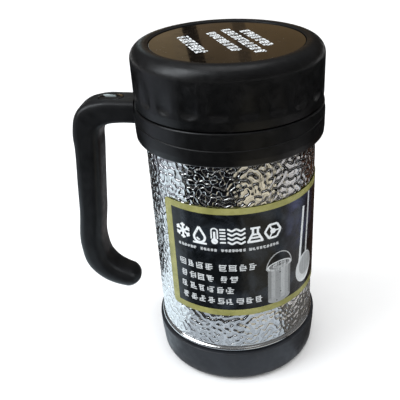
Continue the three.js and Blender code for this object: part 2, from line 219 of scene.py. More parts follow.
class Look:
    """One material being wired. Lengths are in millimetres of the dewar's own frame."""

    def __init__(self, name, **inputs):
        self.material = bpy.data.materials.new(name)
        self.material.use_nodes = True
        self.tree = self.material.node_tree
        self.shader = self.tree.nodes["Principled BSDF"]
        self.seed = 0
        self.set(**inputs)

    def set(self, node=None, **inputs):
        """Links sockets to, and sets plain values on, a node's inputs, or the shader's."""
        node = node or self.shader
        for key, value in inputs.items():
            self.feed(node.inputs[key.replace("_", " ")], value)
        return node

    def feed(self, socket, value):
        if isinstance(value, bpy.types.NodeSocket):
            self.tree.links.new(value, socket)
        elif socket.type == "RGBA":
            socket.default_value = (*value[:3], 1)
        else:
            socket.default_value = value

    def made(self, **inputs):
        """The material, with the last of the shader's inputs set."""
        self.set(**inputs)
        return self.material

    def add(self, kind, **settings):
        node = self.tree.nodes.new("ShaderNode" + kind)
        for key, value in settings.items():
            setattr(node, key, value)
        return node

    def place(self, size, stretch=(1, 1, 1), turn=(0, 0, 0)):
        """Coordinates in which one unit is size millimetres, stretched along the axes."""
        self.seed += 1
        mapping = self.add("Mapping")
        mapping.inputs["Location"].default_value = (3.7 * self.seed, 1.9 * self.seed, 0.8 * self.seed)
        mapping.inputs["Rotation"].default_value = [math.radians(a) for a in turn]
        mapping.inputs["Scale"].default_value = [1 / (size * MM * s) for s in stretch]
        where = self.add("TexCoord").outputs["Object"]
        self.tree.links.new(where, mapping.inputs["Vector"])
        return mapping.outputs["Vector"]

    def noise(self, size, detail=2.0, stretch=(1, 1, 1), turn=(0, 0, 0), warp=0.0):
        """Cloudy noise from 0 to 1 with blotches of about size millimetres."""
        node = self.add("TexNoise")
        self.set(node, Vector=self.place(size, stretch, turn), Scale=1.0, Detail=detail, Distortion=warp)
        return node.outputs["Fac"]

    def cells(self, size):
        """Distance from the nearest of scattered points, for specks."""
        node = self.add("TexVoronoi")
        self.set(node, Vector=self.place(size), Scale=1.0)
        return node.outputs["Distance"]

    def map(self, value, low, high, to_low=0.0, to_high=1.0):
        node = self.add("MapRange", interpolation_type="SMOOTHSTEP")
        self.set(node, Value=value, From_Min=low, From_Max=high, To_Min=to_low, To_Max=to_high)
        return node.outputs["Result"]

    def total(self, first, *rest):
        for value in rest:
            first = self.math("ADD", first, value)
        return first

    def product(self, first, *rest):
        for value in rest:
            first = self.math("MULTIPLY", first, value)
        return first

    def math(self, operation, a, b=0.0):
        node = self.add("Math", operation=operation)
        for socket, value in zip(node.inputs, (a, b)):
            self.feed(socket, value)
        return node.outputs[0]

    def mix(self, factor, a, b):
        node = self.add("Mix", data_type="RGBA")
        for i, value in ((MIX_FACTOR, factor), (MIX_A, a), (MIX_B, b)):
            self.feed(node.inputs[i], value)
        return node.outputs[MIX_COLOUR]

    def attribute(self, name):
        return self.add("Attribute", attribute_name=name).outputs["Fac"]

    def scratches(self, size, turn, amount):
        """Thin, mostly straight scratches about size millimetres apart, in scattered patches."""
        line = self.noise(size, 1.0, (14, 1, 14), turn)
        thin = self.map(self.math("ABSOLUTE", self.math("SUBTRACT", line, 0.5)), 0.0, 0.006, 1.0, 0.0)
        patch = self.map(self.noise(size * 9, 2.0), 0.5, 0.68, 0.0, amount)
        return self.product(thin, patch)

    def worn_edges(self, amount):
        """Where the surface is convex at a small scale, as an edge that gets rubbed."""
        edge = self.map(self.add("NewGeometry").outputs["Pointiness"], 0.52, 0.6, 0.0, amount)
        return self.product(edge, self.map(self.noise(5, 3.0), 0.4, 0.65))

    def bump(self, height, depth, under=None):
        """A normal for height from 0 to 1, depth millimetres deep."""
        node = self.add("Bump")
        self.set(node, Height=height, Distance=depth * MM)
        if under is not None:
            self.tree.links.new(under, node.inputs["Normal"])
        return node.outputs["Normal"]


def scaled(colour, factor):
    return tuple(c * factor for c in colour)


def moulded_plastic(name, colour, roughness, scuffs, dust_colour=(0.05, 0.05, 0.053)):
    """Moulded black plastic: fine grain, cloudy tone, dust, scratches and rubbed edges."""
    look = Look(name, IOR=1.46)
    cloud = look.noise(22, 3.0, warp=0.4)
    tone = look.mix(look.map(cloud, 0.3, 0.7), scaled(colour, 0.75), scaled(colour, 1.35))
    dust = look.map(look.cells(1.9), 0.07, 0.13, 1.0, 0.0)
    dust = look.product(dust, look.map(look.noise(6, 2.0), 0.55, 0.7, 0.0, 0.12))
    upright = look.scratches(1.6, (0, 0, 0), scuffs)
    marks = look.total(upright, look.scratches(2.3, (35, 50, 20), scuffs))
    rubbed = look.total(look.worn_edges(scuffs), marks)
    haze = look.map(look.noise(9, 4.0, warp=1.0), 0.56, 0.74, 0.0, 0.4 * scuffs)
    worn = look.math("MINIMUM", look.total(rubbed, haze, dust), 0.8)
    look.set(Base_Color=look.mix(worn, tone, dust_colour))
    fine = look.map(look.noise(3.5, 2.0), 0.3, 0.7, roughness - 0.05, roughness + 0.07)
    look.set(Roughness=look.total(fine, look.product(worn, 0.3)))
    sink = look.bump(look.noise(16, 1.0), 0.12)
    grain = look.bump(look.noise(0.55, 2.0), 0.016, sink)
    return look.made(Normal=look.bump(look.math("SUBTRACT", 1.0, marks), 0.02, grain))


def glossy_plastic(name, colour):
    """Polished plastic: swirl marks, dust and faint smears in a mirror surface."""
    look = Look(name, IOR=1.52, Coat_Weight=0.6, Coat_Roughness=0.03)
    streak = look.noise(11, 2.0, (1, 4, 1), (0, 0, 28))
    tone = look.mix(look.map(streak, 0.35, 0.65), scaled(colour, 0.7), scaled(colour, 1.6))
    dust = look.map(look.cells(2.4), 0.05, 0.1, 0.45, 0.0)
    dust = look.product(dust, look.map(look.noise(8, 2.0), 0.48, 0.62))
    look.set(Base_Color=look.mix(dust, tone, (0.3, 0.28, 0.26)))
    smear = look.map(look.noise(7, 4.0, warp=1.5), 0.42, 0.7, 0.05, 0.2)
    swirl = look.scratches(1.8, (0, 0, 65), 0.25)
    return look.made(
        Roughness=look.total(smear, swirl, dust),
        Normal=look.bump(look.noise(9, 1.0), 0.035),
    )


def embossed_steel():
    """Bright stainless sheet. The relief attribute is above 0 on its embossed ridges."""
    look = Look("embossed_steel", Metallic=1.0, IOR=2.5)
    relief = look.attribute("relief")
    raised = look.map(relief, -EMBOSS_EDGE, EMBOSS_EDGE)
    clean = look.mix(look.map(look.noise(14, 3.0), 0.35, 0.65), (0.72, 0.72, 0.715), (0.82, 0.815, 0.8))
    # Painted shade: the steel's colour turns darker and browner in the deep valleys of the embossing.
    look.set(Base_Color=look.mix(look.map(relief, -1.2, 0.1, 0.3, 0.0), clean, (0.42, 0.4, 0.385)))
    film = look.map(look.noise(9, 3.0, warp=1.2), 0.4, 0.7, 0.0, 0.12)
    matt = look.map(raised, 0.0, 1.0, 0.15, 0.08)
    hairline = look.scratches(2.2, (20, 0, 70), 0.3)
    return look.made(
        Roughness=look.total(film, matt, hairline),
        Normal=look.bump(look.noise(0.9, 2.0), 0.012, look.bump(raised, 0.13)),
    )


def plain_steel():
    """Satin stainless steel, brushed round the axis."""
    look = Look("plain_steel", Metallic=1.0)
    brushed = look.noise(0.5, 2.0, (9, 9, 1))
    stain = look.noise(13, 4.0, warp=1.0)
    grey = look.mix(look.map(brushed, 0.3, 0.7), (0.5, 0.505, 0.51), (0.68, 0.685, 0.69))
    return look.made(
        Base_Color=look.mix(look.map(stain, 0.5, 0.75, 0.0, 0.4), grey, (0.46, 0.43, 0.39)),
        Roughness=look.map(brushed, 0.25, 0.75, 0.24, 0.4),
        Normal=look.bump(brushed, 0.008),
    )


def aluminium_foil():
    """Thin bright foil with soft creases."""
    look = Look("aluminium_foil", Metallic=1.0)
    fold = look.math("SUBTRACT", look.noise(9, 3.0, warp=0.8), 0.5)
    crease = look.map(look.math("ABSOLUTE", fold), 0, 0.07)
    return look.made(
        # Painted shade: the foil's colour is darker along its creases.
        Base_Color=look.mix(crease, (0.62, 0.62, 0.64), (0.86, 0.86, 0.88)),
        Roughness=look.map(look.noise(4), 0.3, 0.7, 0.12, 0.26),
        Normal=look.bump(crease, 0.12),
    )


def getter_metal():
    """Dull sintered metal with open pores."""
    look = Look("getter_metal")
    pore = look.map(look.cells(0.6), 0.1, 0.45)
    return look.made(
        # Painted shade: the colour is darker deep in the pores.
        Base_Color=look.mix(pore, (0.05, 0.045, 0.04), (0.17, 0.155, 0.14)),
        Metallic=look.map(pore, 0.0, 1.0, 0.1, 0.6),
        Roughness=look.map(look.noise(1.4), 0.3, 0.7, 0.6, 0.9),
        Normal=look.bump(pore, 0.08),
    )


def black_rubber():
    """Non-slip rubber: matt, slightly dusty, with a fine leathery grain."""
    look = Look("black_rubber", IOR=1.45)
    grime = look.map(look.noise(8, 4.0, warp=0.6), 0.45, 0.72, 0.0, 0.6)
    return look.made(
        Base_Color=look.mix(grime, (0.018, 0.018, 0.019), (0.1, 0.096, 0.09)),
        Roughness=look.map(look.noise(2.5), 0.3, 0.7, 0.72, 0.92),
        Normal=look.bump(look.cells(0.7), 0.05),
    )


def silicone():
    """Milky silicone: soft, slightly translucent, with a powdery bloom."""
    look = Look("silicone", IOR=1.42, Subsurface_Weight=0.35, Subsurface_Scale=0.002)
    look.shader.inputs["Subsurface Radius"].default_value = (1.0, 0.9, 0.75)
    bloom = look.map(look.noise(4, 3.0, warp=0.5), 0.4, 0.7)
    return look.made(
        Base_Color=look.mix(bloom, (0.56, 0.545, 0.5), (0.7, 0.69, 0.65)),
        Roughness=look.map(bloom, 0.0, 1.0, 0.38, 0.62),
        Normal=look.bump(look.noise(0.8), 0.02),
    )


def rigid_foam():
    """Pale closed-cell foam."""
    look = Look("foam")
    cell = look.map(look.cells(0.8), 0.05, 0.5)
    age = look.map(look.noise(10, 3.0), 0.35, 0.7)
    pale = look.mix(age, (0.72, 0.67, 0.52), (0.82, 0.78, 0.66))
    return look.made(
        # Painted shade: the colour is darker and browner towards the hollow middle of each cell.
        Base_Color=look.mix(look.map(cell, 0, 1, 0.5, 0.0), pale, (0.5, 0.45, 0.33)),
        Roughness=look.map(look.noise(2.0), 0.3, 0.7, 0.85, 1.0),
        Normal=look.bump(cell, 0.15),
    )


# ---- embossed steel shell

SHELL_R = 42.5
SHELL_WALL = 0.8
SHELL_FOOT_R = 41.2  # inside the base cup
SHELL_NECK_R = 40.6  # inside the collar
SHELL_SHOULDER = 133  # where the shell starts to narrow
BEAD_R = 43.5
BEAD_ROUND = 1.0
BEAD_LIFT = 1.8  # middle of the bead above the base cup's edge
SHELL_COLUMNS = 600
EMBOSS_WAVE = 3.7  # distance from one ridge to the next
EMBOSS_SPREAD = 0.3  # how much that distance varies
EMBOSS_DEPTH = 0.12  # above and below the sheet's middle
EMBOSS_STEEP = 3.6  # of the ridges' sides, from 1 for round waves
EMBOSS_EDGE = 0.28  # share of the waves' height in which a ridge's crisp side lies
EMBOSS_FADE = 1.2  # height over which the embossing starts and ends
DENT_WAVE = 17  # wide, shallow unevenness of the rolled sheet
DENT_SPREAD = 0.35
DENT_DEPTH = 0.035
EMBOSS_SEED = 11


def waves(rows, columns, steps, length, spread, rng):
    """Random waves of one length that repeat round the sheet, with mean 0 and deviation 1.
    steps are the distances between rows and between columns."""
    spectrum = np.fft.rfft2(rng.standard_normal((rows, columns)))
    upward = np.fft.fftfreq(rows, steps[0])[:, None]
    around = np.fft.rfftfreq(columns, steps[1])[None, :]
    offset = (np.hypot(upward, around) * length - 1) / spread
    field = np.fft.irfft2(spectrum * np.exp(-0.5 * offset * offset), (rows, columns))
    return field / field.std()


def embossed_sheet(foot, top):
    """Rows of heights, and the ridges and dents, about 0, of the stretch between two levels."""
    around = 2 * math.pi * SHELL_R / SHELL_COLUMNS
    rows = round((top - foot) / around)
    levels = np.linspace(foot, top, rows)
    steps = (levels[1] - levels[0], around)
    rng = np.random.default_rng(EMBOSS_SEED)
    ridges = waves(rows, SHELL_COLUMNS, steps, EMBOSS_WAVE, EMBOSS_SPREAD, rng)
    dents = waves(rows, SHELL_COLUMNS, steps, DENT_WAVE, DENT_SPREAD, rng)
    return levels, ridges, dents


def steel_shell():
    """The outer jacket: wrinkle-embossed sheet above a smooth rolled bead."""
    bead = foot_top("base_cup")[1] + BEAD_LIFT
    foot, top = foot_top("outer_shell")
    levels, ridges, dents = embossed_sheet(bead + 1.9, SHELL_SHOULDER - 0.5)
    above = ease(levels, levels[0], levels[0] + EMBOSS_FADE)
    below = ease(-levels, -levels[-1], -levels[-1] + EMBOSS_FADE)
    fade = (above * below)[:, None]
    wall = SHELL_R + fade * (EMBOSS_DEPTH * np.tanh(EMBOSS_STEEP * ridges) + DENT_DEPTH * dents)
    inner = SHELL_R - SHELL_WALL
    rings = [(SHELL_FOOT_R, foot), (SHELL_FOOT_R, bead - 2), (SHELL_FOOT_R + 1.0, bead - 1.3)]
    for turn in np.radians(np.linspace(-62, 72, 12)):
        out, up = BEAD_ROUND * way(turn)
        rings.append((BEAD_R - BEAD_ROUND + out, bead + up))
    rings += [(SHELL_R - 0.15, bead + 1.25), (SHELL_R - 0.25, bead + 1.5)]
    rings += list(zip(wall, levels))
    rings += [
        (SHELL_R, SHELL_SHOULDER), (SHELL_NECK_R, SHELL_SHOULDER + 4.4),
        (SHELL_NECK_R, top), (SHELL_NECK_R - SHELL_WALL, top),
        (SHELL_NECK_R - SHELL_WALL, SHELL_SHOULDER + 4.2),
        (inner, SHELL_SHOULDER + 0.6), (inner, bead - 0.6),
        (SHELL_FOOT_R - SHELL_WALL, bead - 2.2), (SHELL_FOOT_R - SHELL_WALL, foot),
    ]
    shell = skin("steel_shell", ring_points(rings, SHELL_COLUMNS), close_rows=True)
    relief = np.full((len(rings), SHELL_COLUMNS), 1.0)
    first = next(i for i, (r, _) in enumerate(rings) if np.ndim(r))
    relief[first:first + len(levels)] = 1 + (ridges - 1) * fade
    spread_values(shell, "relief", relief.ravel())
    return placed(shell, "vessel", "embossed_steel", "outer_shell")


# ---- base


def base_cup():
    """Black cup round the foot of the shell, with a rounded lower edge."""
    foot, top, outer = extent("base_cup")
    pad = radius_of("foot_pad") + 0.3
    pad_top = foot_top("foot_pad")[1] + 0.3
    inner = SHELL_FOOT_R + 0.3
    cup = rounded([
        (0, pad_top), (pad, pad_top, 0.3), (pad, foot, 0.3),
        (outer - 1.2, foot, 3.4), (outer - 0.15, top - 6), (outer, top, 0.6),
        (inner, top, 0.5),
        (inner, foot_top("outer_shell")[0] - 0.3),
        (inner - 4, 3.6), (0, 3.6),
    ], steps=7)
    return placed(turned("black_base", cup), "vessel", "black_plastic", "base_cup")


def foot_pad():
    """Rubber disc under the base, with rings moulded into it for grip."""
    outer = radius_of("foot_pad")
    _, top = foot_top("foot_pad")
    rings = [(0, 0)]
    for groove in np.arange(6, outer - 3, 5):
        rings += [(groove, 0), (groove + 0.4, 0.5), (groove + 1.1, 0.5), (groove + 1.5, 0)]
    rings += rounded([(outer - 4, 0), (outer, 0, 0.5), (outer, top, 0.2), (0, top)])[1:]
    return placed(turned("rubber_foot", rings), "vessel", "black_rubber", "foot_pad")


# ---- collar

COLLAR_LOW_R = 46.6  # at its lower edge
COLLAR_SWELL = 3.4  # height over which it widens
STEP_DEPTH = 0.4  # the collar is slimmer above its slanted step
STEP_HEIGHT = 143
STEP_DROP = 4
STEP_ANGLE = -90  # direction in which the step is lowest


def collar():
    """Black collar under the lid. A slanted step runs round it, lowest at the front."""
    foot, top, outer = extent("collar_ring")
    step = STEP_HEIGHT - STEP_DROP * np.cos(np.radians(ring_angles() - STEP_ANGLE))
    slim = outer - STEP_DEPTH
    bore, skirt = SHELL_NECK_R + 0.4, SHELL_R + 0.5
    low = rounded([
        (skirt, foot + 3), (skirt, foot, 0.4), (COLLAR_LOW_R, foot, 1.0),
        (outer, foot + COLLAR_SWELL, 9), (outer, top),
    ], steps=7)[1:-1]
    shelf = [
        (outer, step - 0.22), (outer - 0.04, step - 0.08), (outer - 0.14, step),
        (slim + 0.08, step + 0.03), (slim, step + 0.12), (slim, step + 0.4),
    ]
    high = rounded([
        (slim, foot), (slim, top, 0.7), (bore, top, 0.4),
        (bore, SHELL_SHOULDER + 5), (skirt, SHELL_SHOULDER + 1.4),
    ])[1:]
    return placed(turned("black_collar", low + shelf + high), "vessel", "black_plastic", "collar_ring")


# ---- lid

RIM_ROUND = 6.5
FLUTES = 22
FLUTE_COLUMNS = 18  # points across each flute and its land
FLUTE_DEPTH = 0.8
FLUTE_HALF_WIDTH = 4.5
FLUTE_FOOT = 152.3
FLUTE_RUN = 15  # height in which the flutes fade into the rim
FLUTE_END = 3.2  # height over which a flute's foot runs out
DISC_JOINT = 0.15  # gap round the disc
DISC_SEAT = 173  # floor of the recess in the lid's top


def fluted(radius, height, angle, outer):
    """The lid's radius with its grip flutes scooped out."""
    pitch = 360 / FLUTES
    off = (angle % pitch) - pitch / 2
    across = np.radians(off) * outer / FLUTE_HALF_WIDTH
    end = np.maximum(0, FLUTE_FOOT + FLUTE_END - height) / FLUTE_END
    fade = 1 - ease(height, FLUTE_FOOT + 3, FLUTE_FOOT + FLUTE_RUN)
    scoop = outer - FLUTE_DEPTH * fade * (1 - across ** 2 - end ** 2)
    soft = 0.05
    return (radius + scoop - np.sqrt((radius - scoop) ** 2 + soft ** 2)) / 2


def lid_cap():
    """Black screw lid with a soft rim and scooped grip flutes."""
    foot, top, outer = extent("lid_cap")
    disc = radius_of("lid_top_disc")
    skirt = outer - 2.7
    ledge = foot_top("lid_plug")[1] + 0.3
    roof = DISC_SEAT - 2
    angle = ring_angles(FLUTES * FLUTE_COLUMNS)
    lip = disc + DISC_JOINT
    well = [(0, DISC_SEAT), (lip, DISC_SEAT)]
    rim = rounded([
        well[-1],
        (lip, top - 0.5, 0.2), (lip + 1.6, top, 1.2), (outer, top, RIM_ROUND),
        (outer, foot),
    ], steps=12)[1:-1]
    side = [(outer, z) for z in np.arange(top - RIM_ROUND - 3, FLUTE_FOOT + 5, -3)]
    side += [(outer, z) for z in np.arange(FLUTE_FOOT + 4.5, FLUTE_FOOT - 1, -0.35)]
    wall = [(fluted(r, z, angle, outer), z) for r, z in rim + side]
    low = rounded([
        (outer, foot + 9), (outer - 0.3, foot, 0.6), (skirt, foot, 0.4),
        (skirt, foot + 5),
    ])[1:-1]
    inside = [
        (skirt, ledge), (skirt - 1.3, ledge), (skirt - 1.3, roof - 3),
        (skirt - 4.3, roof), (0, roof),
    ]
    cap = turned("black_lid", well + wall + low + inside, len(angle))
    return placed(cap, "lid", "black_plastic", "lid_cap")


def lid_disc():
    """Polished disc set into the lid, with a fine bevel round its edge."""
    low, top, outer = extent("lid_top_disc")
    disc = rounded([(0, low), (outer, low), (outer, top, 0.35), (0, top + 0.02)])
    return placed(turned("glossy_disc", disc), "lid", "glossy_black", "lid_top_disc")


# ---- threaded plug and neck

THREAD_PITCH = 5
THREAD_DEPTH = 1.1
THREAD_TURNS = 1.25
THREAD_CREST = 0.6  # half width of the ridge's top
THREAD_ROOT = 1.5  # and of its root
NECK_BORE = 36.1
NECK_WALL = 1.2
NECK_FOOT = 128
NECK_THREAD_FOOT = 133
PLUG_R = 33.4
PLUG_WALL = 1.5
PLUG_THREAD_FOOT = 134
VENT_BORE = 7
VENT_HOLE = 3.2
VENT_WALL = 1.8
VENT_TALL = 21.5  # height of the valve's guide above the plug's floor
FLANGE_THICK = 1.7
VESSEL_R = 38.4
VESSEL_WALL = 0.7
VESSEL_CORNER = 8  # radius of the curve from floor to wall


def thread_height(levels, foot):
    """Share of the ridge's height at each level and angle, faded out at both ends."""
    angle = ring_angles()[None, :]
    height = np.zeros((len(levels), COLUMNS))
    for wrap in range(math.ceil(THREAD_TURNS)):
        turns = angle / 360 + wrap
        off = np.abs(levels[:, None] - foot - THREAD_PITCH * turns)
        fade = np.clip(12 * np.minimum(turns, THREAD_TURNS - turns) / THREAD_TURNS, 0, 1)
        height = np.maximum(height, fade * ease(-off, -THREAD_ROOT, -THREAD_CREST))
    return height


def threaded_wall(radius, foot, depth):
    """Rings of a wall with a thread ridge that stands depth out of it, or in if below 0."""
    levels = np.arange(foot - 2, foot + THREAD_PITCH * THREAD_TURNS + 2, 0.3)
    return list(zip(radius + depth * thread_height(levels, foot), levels))


def neck_insert():
    """Threaded plastic ring in the mouth of the vessel."""
    top = foot_top("neck_insert")[1]
    flange = radius_of("neck_insert")
    outer = NECK_BORE + NECK_WALL
    ring = rounded([
        (outer, NECK_FOOT, 0.2), (outer, top - 1.5), (flange, top - 1.5),
        (flange, top, 0.4), (NECK_BORE, top, 0.5), (NECK_BORE, NECK_FOOT, 0.4),
    ])
    wall = threaded_wall(NECK_BORE, NECK_THREAD_FOOT, -THREAD_DEPTH)[::-1]
    neck = turned("neck_ring", ring[:-6] + wall + ring[-6:])
    return placed(neck, "vessel", "neck_plastic", "neck_insert")


def lid_plug():
    """Hollow plug under the lid, with its thread ridge and the guide for the relief valve."""
    foot, top = foot_top("lid_plug")
    flange = radius_of("lid_cap") - 3
    floor = foot + 2
    start = [(VENT_HOLE, foot)] + rounded([(0, foot), (PLUG_R, foot, 1.2), (PLUG_R, top)])[1:-1]
    wall = threaded_wall(PLUG_R, PLUG_THREAD_FOOT, THREAD_DEPTH)
    rest = rounded([
        (PLUG_R, foot), (PLUG_R, top - FLANGE_THICK, 0.5),
        (flange, top - FLANGE_THICK, 0.3), (flange, top, 0.3),
        (PLUG_R - PLUG_WALL, top), (PLUG_R - PLUG_WALL, floor, 0.8),
        (VENT_BORE + VENT_WALL, floor, 0.6),
        (VENT_BORE + VENT_WALL, floor + VENT_TALL), (VENT_BORE, floor + VENT_TALL),
        (VENT_BORE, floor), (VENT_HOLE, floor),
    ])[1:]
    return placed(turned("lid_plug_cup", start + wall + rest), "lid", "neck_plastic", "lid_plug")


def seal_ring():
    """Silicone ring that the lid's flange presses on the neck, with two sealing beads."""
    low, top, outer = extent("lid_seal_ring")
    inner = NECK_BORE + 0.5
    middle = (inner + outer) / 2
    ring = rounded([
        (inner, low, 0.3), (middle - 0.7, low, 0.2), (middle, low + 0.25, 0.5),
        (middle + 0.7, low, 0.2), (outer, low, 0.3), (outer, top, 0.3),
        (middle, top - 0.15, 0.8), (inner, top, 0.3),
    ])
    return placed(turned("silicone_seal", ring), "lid_seal", "silicone", "lid_seal_ring")


def inner_vessel():
    """The inner steel vessel, whose floor runs into its wall in a wide curve."""
    foot, top, flange = extent("inner_vessel")
    inner = VESSEL_R - VESSEL_WALL
    shape = rounded([
        (0, foot), (VESSEL_R, foot, VESSEL_CORNER), (VESSEL_R, top - VESSEL_WALL),
        (flange, top - VESSEL_WALL), (flange, top), (inner, top),
        (inner, foot + VESSEL_WALL, VESSEL_CORNER - VESSEL_WALL),
        (0, foot + VESSEL_WALL),
    ], steps=10)
    return placed(turned("steel_vessel", shape), "vessel", "plain_steel", "inner_vessel")


def vent_poppet():
    """Relief valve: a soft head that closes the vent hole, on a stem."""
    low, top, head = extent("vent_poppet")
    shape = rounded([
        (0, low), (head, low, 0.4), (head, low + 1.7, 0.5), (1.5, low + 2.1, 0.6),
        (1.5, top, 0.4), (0, top),
    ])
    return placed(turned("vent_valve", shape, 64), "vent", "silicone", "vent_poppet")


SPRING_WIRE = 0.35  # radius of the wire
SPRING_TURNS = 5.6
SPRING_FLAT = 0.8  # turns that lie flat at each end


def vent_spring():
    """Coil spring over the valve's stem."""
    foot, top = foot_top("vent_spring")
    coil = radius_of("vent_spring") - SPRING_WIRE
    turns = np.linspace(0, SPRING_TURNS, 240)
    rise = np.clip((turns - SPRING_FLAT) / (SPRING_TURNS - 2 * SPRING_FLAT), 0, 1)
    height = foot + SPRING_WIRE + rise * (top - foot - 2 * SPRING_WIRE)
    angle = 2 * np.pi * turns
    out = np.stack([np.cos(angle), np.sin(angle), np.zeros(len(angle))], axis=1)
    path = coil * out
    path[:, 2] = height
    along = np.gradient(path, axis=0)
    along /= np.linalg.norm(along, axis=1)[:, None]
    up = np.cross(out, along)
    t = np.arange(12) * 2 * np.pi / 12
    wire = out[:, None, :] * np.cos(t)[None, :, None] + up[:, None, :] * np.sin(t)[None, :, None]
    rings = path[:, None, :] + SPRING_WIRE * wire
    ends = [np.tile(path[i], (1, len(t), 1)) for i in (0, -1)]
    spring = skin("valve_spring", np.concatenate([ends[0], rings, ends[1]]))
    merge_ends(spring)
    placed(spring, "lid", "plain_steel", "vent_spring")
    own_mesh(spring)


# ---- handle

# Middle of the handle from its root to its tip: distance from the axis, height, half thickness
# in the handle's plane, and squareness of the section, from 2 for an ellipse upwards.
HANDLE_SPINE = [
    (46.0, 141.6, 5.6, 6.0),
    (54.0, 141.8, 5.6, 6.0),
    (62.5, 141.2, 6.3, 5.6),
    (69.6, 138.0, 7.3, 5.0),
    (72.9, 130.0, 6.9, 4.4),
    (73.5, 122.0, 6.7, 4.0),
    (75.8, 100.0, 6.5, 3.8),
    (77.4, 84.0, 6.4, 3.7),
    (79.9, 62.0, 6.5, 3.5),
    (78.1, 51.6, 6.7, 3.2),
    (72.6, 44.4, 6.3, 2.8),
    (66.2, 40.6, 5.9, 2.4),
    (62.9, 39.4, 5.7, 2.2),
]
HANDLE_HALF_WIDTH = 9.2
HANDLE_TIP = 7.2  # length of the rounded tip past the last station
HANDLE_RINGS = 150
HANDLE_COLUMNS = 96


def smooth_path(stations, count):
    """count points on a smooth curve through stations, evenly spaced along it."""
    knots = np.array(stations, float)
    along = np.concatenate([[0], np.cumsum(np.linalg.norm(np.diff(knots[:, :2], axis=0), axis=1))])
    slope = np.gradient(knots, along, axis=0)
    at = np.linspace(0, along[-1], count)
    i = np.clip(np.searchsorted(along, at, side="right") - 1, 0, len(along) - 2)
    width = (along[i + 1] - along[i])[:, None]
    t = (at - along[i])[:, None] / width
    ends = knots[i] * (2 * t ** 3 - 3 * t ** 2 + 1) + knots[i + 1] * (3 * t ** 2 - 2 * t ** 3)
    return ends + width * (slope[i] * (t ** 3 - 2 * t ** 2 + t) + slope[i + 1] * (t ** 3 - t ** 2))


def power(x, exponent):
    return np.sign(x) * np.abs(x) ** exponent


def handle_grip():
    """Hook handle: a squarish arm that turns into a rounded grip and ends in a blunt tip."""
    path = smooth_path(HANDLE_SPINE, HANDLE_RINGS)
    forward = np.gradient(path[:, :2], axis=0)
    forward /= np.linalg.norm(forward, axis=1)[:, None]
    across = np.stack([-forward[:, 1], forward[:, 0]], axis=1)
    t = np.arange(HANDLE_COLUMNS) * 2 * np.pi / HANDLE_COLUMNS
    rings = []
    for middle, side in zip(path, across):
        exponent = 2 / middle[3]
        thick = middle[2] * power(np.cos(t), exponent)
        wide = HANDLE_HALF_WIDTH * power(np.sin(t), exponent)
        plane = middle[:2] + thick[:, None] * side
        rings.append(np.stack([-plane[:, 0], wide, plane[:, 1]], axis=1))
    root = radius_of("collar_ring") + 0.1
    rings[0][:, 0] = -np.sqrt(root ** 2 - rings[0][:, 1] ** 2)
    tip = path[-1, :2]
    for turn in np.linspace(0, np.pi / 2, 12)[1:]:
        reach = tip + forward[-1] * HANDLE_TIP * math.sin(turn)
        centre = np.array([-reach[0], 0, reach[1]])
        start = np.array([-tip[0], 0, tip[1]])
        rings.append(centre + (rings[HANDLE_RINGS - 1] - start) * math.cos(turn))
    cap = np.tile(rings[0].mean(axis=0), (HANDLE_COLUMNS, 1))
    mesh_rings = np.array([cap] + rings)
    grip = skin("black_handle", mesh_rings)
    merge_ends(grip)
    sink_recess(grip)
    return placed(even_normals(grip), "vessel", "black_plastic", "handle_grip")


def merge_ends(obj):
    """Merges the points of a loft's collapsed first and last ring."""
    work = bmesh.new()
    work.from_mesh(obj.data)
    bmesh.ops.remove_doubles(work, verts=work.verts, dist=1e-6)
    bmesh.ops.recalc_face_normals(work, faces=work.faces)
    work.to_mesh(obj.data)
    work.free()


INLAY_LONG = 12.6
INLAY_WIDE = 8.4
INLAY_CROWN = 0.55


def oblong_ring(long, wide, inset, count=96):
    """Points of an oblong with round ends, set in by inset, round its middle."""
    straight = (long - wide) / 2
    radius = wide / 2 - inset
    t = np.arange(count) * 2 * np.pi / count + np.pi / count
    x = radius * np.cos(t) + straight * np.sign(np.cos(t))
    return x, radius * np.sin(t)


def oblong(name, middle, rings):
    """A closed piece through oblong rings of (inset, height) about a point on the arm."""
    points = []
    for inset, height in rings:
        x, y = oblong_ring(INLAY_LONG, INLAY_WIDE, inset)
        points.append(np.stack([middle + x, y, np.full(len(x), height)], axis=1))
    first, last = (np.tile(points[i].mean(axis=0), (len(points[i]), 1)) for i in (0, -1))
    piece = skin(name, np.array([first] + points + [last]))
    merge_ends(piece)
    return piece


def inlay_middle():
    low, high = span("handle_inlay")
    return (low.x + high.x) / 2


def sink_recess(grip):
    """Cuts the seat of the inlay into the top of the handle's arm."""
    low = foot_top("handle_inlay")[0] - 0.3
    cutter = oblong("recess_cutter", inlay_middle(), [(-0.3, low), (-0.3, low + 8)])
    modifier = grip.modifiers.new("recess", "BOOLEAN")
    modifier.operation = "DIFFERENCE"
    modifier.solver = "EXACT"
    modifier.object = cutter
    depsgraph = bpy.context.evaluated_depsgraph_get()
    cut = bpy.data.meshes.new_from_object(grip.evaluated_get(depsgraph))
    grip.modifiers.clear()
    grip.data = cut
    cut.shade_smooth()
    cut.set_sharp_from_angle(angle=math.radians(50))
    bpy.data.objects.remove(cutter)


def handle_inlay():
    """Polished oval plug over the screw, crowned and with a rounded edge."""
    low, high = foot_top("handle_inlay")
    edge = high - INLAY_CROWN
    rings = [(0.3, low), (0.0, low + 0.3), (0.0, edge - 0.3)]
    for inset in (0.06, 0.2, 0.5, 0.9, 1.5, 2.2, 3.0, 3.7):
        share = math.sqrt(1 - (1 - inset / 4.2) ** 2)
        rings.append((inset, edge + INLAY_CROWN * share))
    inlay = oblong("glossy_inlay", inlay_middle(), rings)
    return placed(inlay, "vessel", "glossy_black", "handle_inlay")


# ---- label

LABEL_CORNER = 2.2
BORDER_SIDE = 4.6
BORDER_TOP = 3.3
BORDER_FOOT = 3.8
PRINT_THICK = 0.03
FILM_THICK = 0.26
FILM_SEED = 5
FILM_RIPPLE = 0.012  # of the embossing that shows through the film


